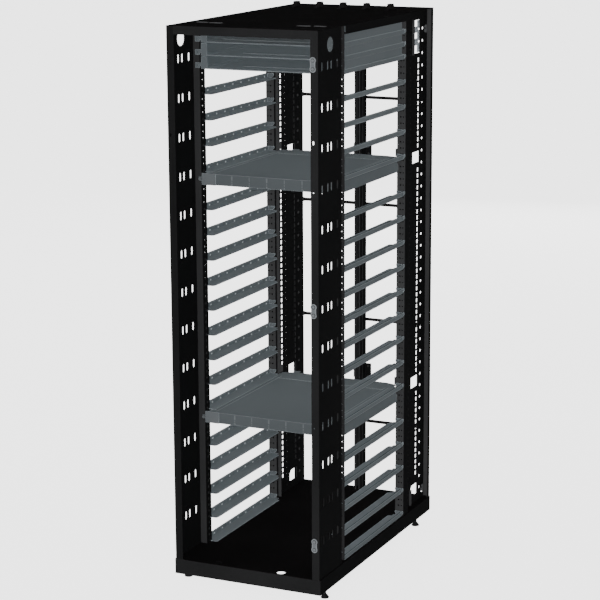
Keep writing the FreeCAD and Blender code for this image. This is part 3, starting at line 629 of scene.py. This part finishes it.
# hinge plates: rounded plate with broken edges and two socket head screws
def plate_outline(xc, zc, y, d, seg=14):
    pts = []
    r = 12.0 - d
    w = 10.0 - d
    a0 = math.acos(w / r)
    for k, zz in ((0, zc + 15.0), (1, zc - 15.0)):
        for i in range(seg + 1):
            a = -a0 + (math.pi + 2 * a0) * i / seg + k * math.pi
            pts.append(P(xc + r * math.cos(a), y, zz + r * math.sin(a)))
    return pts


for nm, zc in (("top", 1939.0), ("middle", 1065.0), ("bottom", 190.0)):
    bm = bmesh.new()
    rings = []
    for y, d in ((0.0, 0.0), (-2.2, 0.0), (-2.7, 0.25), (-3.0, 0.8)):
        rings.append([bm.verts.new(p) for p in plate_outline(278.0, zc, y, d)])
    for ra, rb in zip(rings, rings[1:]):
        for i in range(len(ra)):
            j = (i + 1) % len(ra)
            bm.faces.new((ra[i], ra[j], rb[j], rb[i]))
    bm.faces.new(rings[0][::-1])
    bm.faces.new(rings[-1])
    o = piece("hinge_plate_detail_" + nm, bm, SILVER)
    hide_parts("hinge_plate_" + nm)
    bm = bmesh.new()
    for d in (-15.0, 15.0):
        socket_screw(bm, P(278.0, -3.0, zc + d), (0, -1, 0), r=5.2, h=2.5, sock=2.4)
    piece("hinge_screws_" + nm, bm, BOLT)
    # thin dark rings laid round the screw heads: painted shade for the recess round each head
    bm = bmesh.new()
    for d in (-15.0, 15.0):
        lathe(bm, [(5.0, 0.0), (7.4, 0.0), (7.3, 0.12), (5.0, 0.12)], P(278.0, -3.0, zc + d),
              (0, -1, 0), seg=28)
    piece("hinge_rings_" + nm, bm, RECESS_SHADE)
    # lighter rims round the plate: a painted highlight on its broken edge
    bm = bmesh.new()
    ro = [[bm.verts.new(p) for p in plate_outline(278.0, zc, y, d)]
          for y, d in ((-2.9, 0.5), (-3.5, 0.9), (-3.5, 2.7), (-2.9, 3.1))]
    for ra, rb in zip(ro, ro[1:] + ro[:1]):
        for i in range(len(ra)):
            j = (i + 1) % len(ra)
            bm.faces.new((ra[i], ra[j], rb[j], rb[i]))
    piece("hinge_rim_highlights_" + nm, bm, HEM_HIGHLIGHT)


# knurled screws at the front corners of the shelves
def knurled(bm, origin, r=5.8, h=7.0, n=32):
    """Knurled head, its front towards -Y. origin is under the head."""
    rows = [(0.0, r - 0.6), (0.6, r), (h - 0.7, r), (h, r - 0.8), (h, r - 1.9), (h - 0.5, r - 2.2)]
    rings = []
    for k, (hh, rr) in enumerate(rows):
        ring = []
        for i in range(2 * n):
            a = math.pi * i / n
            q = rr - (0.38 if (i % 2 and 0 < k < 3) else 0.0)
            ring.append(bm.verts.new(origin + Vector((q * math.cos(a) * MM, -hh * MM,
                                                      q * math.sin(a) * MM))))
        rings.append(ring)
    for ra, rb in zip(rings, rings[1:]):
        for i in range(2 * n):
            j = (i + 1) % (2 * n)
            bm.faces.new((ra[i], ra[j], rb[j], rb[i]))
    bm.faces.new(rings[0])
    bm.faces.new(rings[-1][::-1])


for nm, n in SHELF_LEVELS:
    bm = bmesh.new()
    for s in (-1, 1):
        o = P(s * 271.0, 198.0, level(n) + 25.0)
        knurled(bm, o)
        lathe(bm, [(2.9, 0.0), (2.9, 3.0)], o, (0, 1, 0), seg=20)
    o = piece("thumb_screw_heads_" + nm, bm, SCREW)
    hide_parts("thumb_screws_" + nm)

# lighter end plates on the front corners of the shelves
for nm, n in SHELF_LEVELS:
    zl = level(n)
    bm = bmesh.new()
    for s in (-1, 1):
        x0, x1 = sorted((s * 210.0, s * 253.5))
        slab(bm, x0, x1, 197.2, 198.0, zl + 4.0, zl + 46.2, bevel=0.35)
        x0, x1 = sorted((s * 254.6, s * 265.2))
        slab(bm, x0, x1, 197.4, 198.0, zl + 4.2, zl + 46.0, bevel=0.3)
    piece("shelf_end_plates_" + nm, bm, SHELF_LIGHT)

# collars where the cross bars meet the posts
bm = bmesh.new()
for zb in (1692.0, 1260.0, 780.0, 348.0):
    for s in (-1, 1):
        x0, x1 = sorted((s * 262.0, s * 269.0))
        slab(bm, x0, x1, 1090.0, 1097.8, zb - 8.0, zb + 8.0, bevel=0.8)
piece("cross_bar_collars", bm, BLACK)

# raised lips round the cut-outs in the roof, painted grey against the black roof as a painted highlight on
# their edges
bm = bmesh.new()
for s in (-1, 1):
    for cx, cy, wx, wy in ((s * 174.0, 152.0, 48.0, 14.0), (s * 234.0, 160.0, 42.0, 12.0)):
        r0, h = wy / 2.0, (wx - wy) / 2.0
        rings = []
        for dz, grow in ((-0.1, 3.4), (0.8, 3.0), (0.8, 0.8), (-0.1, 0.5)):
            ring = []
            for i in range(24):
                a = 2 * math.pi * (i + 0.5) / 24
                ring.append(bm.verts.new(P(cx + (h if math.cos(a) > 0 else -h)
                                           + (r0 + grow) * math.cos(a),
                                           cy + (r0 + grow) * math.sin(a), 2057.0 + dz)))
            rings.append(ring)
        for ra, rb in zip(rings, rings[1:] + rings[:1]):
            for i in range(24):
                j = (i + 1) % 24
                bm.faces.new((ra[i], ra[j], rb[j], rb[i]))
piece("roof_cutout_lips", bm, MARK_HIGHLIGHT)

# ribs along the bus bar housing, painted lighter than the housing as a painted highlight
bm = bmesh.new()
for x in (-8.0, 7.6):
    slab(bm, x - 1.3, x + 1.3, 1039.1, 1040.1, 64.0, 1986.0, bevel=0.3)
for s in (-1, 1):
    x0, x1 = sorted((s * 14.4, s * 15.3))
    slab(bm, x0, x1, 1054.0, 1058.0, 64.0, 1450.0, bevel=0.3)
    slab(bm, x0, x1, 1054.0, 1058.0, 1512.0, 1986.0, bevel=0.3)
piece("housing_ribs", bm, BLACK_RIB_HIGHLIGHT)

# screws on the brackets of the bus bar housing
bm = bmesh.new()
for z0, z1 in ((1456.0, 1506.0), (532.0, 595.0)):
    for s in (-1, 1):
        for z in (z0 + 10.0, z1 - 10.0):
            socket_screw(bm, P(s * 27.0, 1088.0, z), (0, -1, 0), r=5.0, h=2.6, sock=2.2)
piece("housing_screws", bm, FOOT)

# cap that closes the top of the bus bar housing
bm = bmesh.new()
slab(bm, -14.4, 14.4, 1040.1, 1093.9, 1990.0, 1994.0, bevel=1.0)
piece("housing_cap", bm, BLACK_BOX)

# ------------------------------------------------------------- stage and light
fl = bpy.data.meshes.new("floor")
S = 30.0
fl.from_pydata([(-S, -S, 0), (S, -S, 0), (S, S, 0), (-S, S, 0)], [], [(0, 1, 2, 3)])
floor = bpy.data.objects.new("floor", fl)
bpy.context.scene.collection.objects.link(floor)
FLOOR_SEEN = 2.9
WORLD_SEEN = 3.1
fm = bpy.data.materials.new("floor_pale")
fm.use_nodes = True
fb = fm.node_tree.nodes["Principled BSDF"]
fb.inputs["Base Color"].default_value = (0.85, 0.85, 0.85, 1)
fb.inputs["Roughness"].default_value = 0.9
fb.inputs["Specular IOR Level"].default_value = 0.0
fd = fm.node_tree.nodes.new("ShaderNodeBsdfDiffuse")
fd.inputs["Color"].default_value = (0.42, 0.42, 0.42, 1)
fem = fm.node_tree.nodes.new("ShaderNodeEmission")
fem.inputs["Color"].default_value = (1, 1, 1, 1)
fem.inputs["Strength"].default_value = FLOOR_SEEN
flp = fm.node_tree.nodes.new("ShaderNodeLightPath")
fmx = fm.node_tree.nodes.new("ShaderNodeMixShader")
fad = fm.node_tree.nodes.new("ShaderNodeAddShader")
fo = fm.node_tree.nodes["Material Output"]
fm.node_tree.links.new(fb.outputs[0], fad.inputs[0])
fm.node_tree.links.new(fem.outputs[0], fad.inputs[1])
fm.node_tree.links.new(flp.outputs["Is Camera Ray"], fmx.inputs[0])
fm.node_tree.links.new(fd.outputs[0], fmx.inputs[1])
fm.node_tree.links.new(fad.outputs[0], fmx.inputs[2])
fm.node_tree.links.new(fmx.outputs[0], fo.inputs["Surface"])
fl.materials.append(fm)

world = bpy.data.worlds.new("studio")
bpy.context.scene.world = world
world.use_nodes = True
wn = world.node_tree
wn.nodes.clear()
wo = wn.nodes.new("ShaderNodeOutputWorld")
lp = wn.nodes.new("ShaderNodeLightPath")
b1 = wn.nodes.new("ShaderNodeBackground")
b1.inputs["Color"].default_value = (0.95, 0.97, 1.0, 1)
b1.inputs["Strength"].default_value = 0.07
b2 = wn.nodes.new("ShaderNodeBackground")
b2.inputs["Color"].default_value = (1, 1, 1, 1)
b2.inputs["Strength"].default_value = WORLD_SEEN
mx = wn.nodes.new("ShaderNodeMixShader")
wn.links.new(lp.outputs["Is Camera Ray"], mx.inputs[0])
wn.links.new(b1.outputs[0], mx.inputs[1])
wn.links.new(b2.outputs[0], mx.inputs[2])
wn.links.new(mx.outputs[0], wo.inputs["Surface"])


def area(name, loc, target, size, power, color=(1, 1, 1), shine=True):
    d = bpy.data.lights.new(name, "AREA")
    d.shape = "SQUARE"
    d.size = size
    d.energy = power
    d.color = color
    o = bpy.data.objects.new(name, d)
    o.location = loc
    o.rotation_mode = "QUATERNION"
    o.rotation_quaternion = (Vector(target) - Vector(loc)).to_track_quat("-Z", "Y")
    o.visible_glossy = shine
    bpy.context.scene.collection.objects.link(o)
    return o


def around(az, el, dist, z=1.05):
    """Point at azimuth az (0 = in front, + to the right) and elevation el, in degrees."""
    a, e = math.radians(az), math.radians(el)
    return (dist * math.cos(e) * math.sin(a), -dist * math.cos(e) * math.cos(a),
            z + dist * math.sin(e))


def fill(name, direction, strength, spread=60.0):
    """Even soft light from one side, without shadows, as a large bounce wall gives."""
    d = bpy.data.lights.new(name, "SUN")
    d.energy = strength
    d.angle = math.radians(spread)
    d.use_shadow = False
    o = bpy.data.objects.new(name, d)
    o.visible_glossy = False
    o.rotation_mode = "QUATERNION"
    o.rotation_quaternion = (-Vector(direction)).to_track_quat("-Z", "Y")
    bpy.context.scene.collection.objects.link(o)
    return o


area("key", around(6.5, 8.0, 8.0), (0, 0, 1.05), 2.6, 60)
area("back", around(192.0, 8.0, 8.0), (0, 0, 1.05), 3.0, 80, shine=False)
area("left", around(-88.0, 6.0, 8.0), (0, 0, 1.05), 3.0, 60, shine=False)
fill("wall_front", (0.065, -1.0, 0.035), 3.9)
fill("wall_back", (0.0, 1.0, 0.04), 1.3)
fill("wall_back_even", (0.0, 1.0, 0.0), 3.6, spread=4.0)
fill("wall_left", (-1.0, 0.0, 0.04), 0.9)
fill("wall_left_even", (-1.0, 0.0, 0.0), 1.2, spread=4.0)
fill("ceiling", (0.12, -0.1, 1.0), 0.38)

# -------------------------------------------------------------------- the view
yaw, pitch, roll = math.radians(24.9), math.radians(12.54), math.radians(-0.29)
up0 = Vector((0, 0, 1))
fwd0 = Vector((-math.sin(yaw), math.cos(yaw), 0))
right0 = Vector((math.cos(yaw), math.sin(yaw), 0))
fwd = fwd0 * math.cos(pitch) - up0 * math.sin(pitch)
up = up0 * math.cos(pitch) + fwd0 * math.sin(pitch)
right = right0 * math.cos(roll) + up * math.sin(roll)
up2 = -right0 * math.sin(roll) + up * math.cos(roll)
cam_data = bpy.data.cameras.new("view")
cam = bpy.data.objects.new("view", cam_data)
bpy.context.scene.collection.objects.link(cam)
cam_data.sensor_width = 36.0
cam_data.sensor_fit = "HORIZONTAL"
cam_data.lens = 2061.2 / 600.0 * 36.0
cam_data.clip_start = 0.1
cam_data.clip_end = 100.0
R = Matrix((right, up2, -fwd)).transposed()
cam.matrix_world = Matrix.Translation(P(3235.3, -6487.1, 2692.7)) @ R.to_4x4()
bpy.context.scene.camera = cam
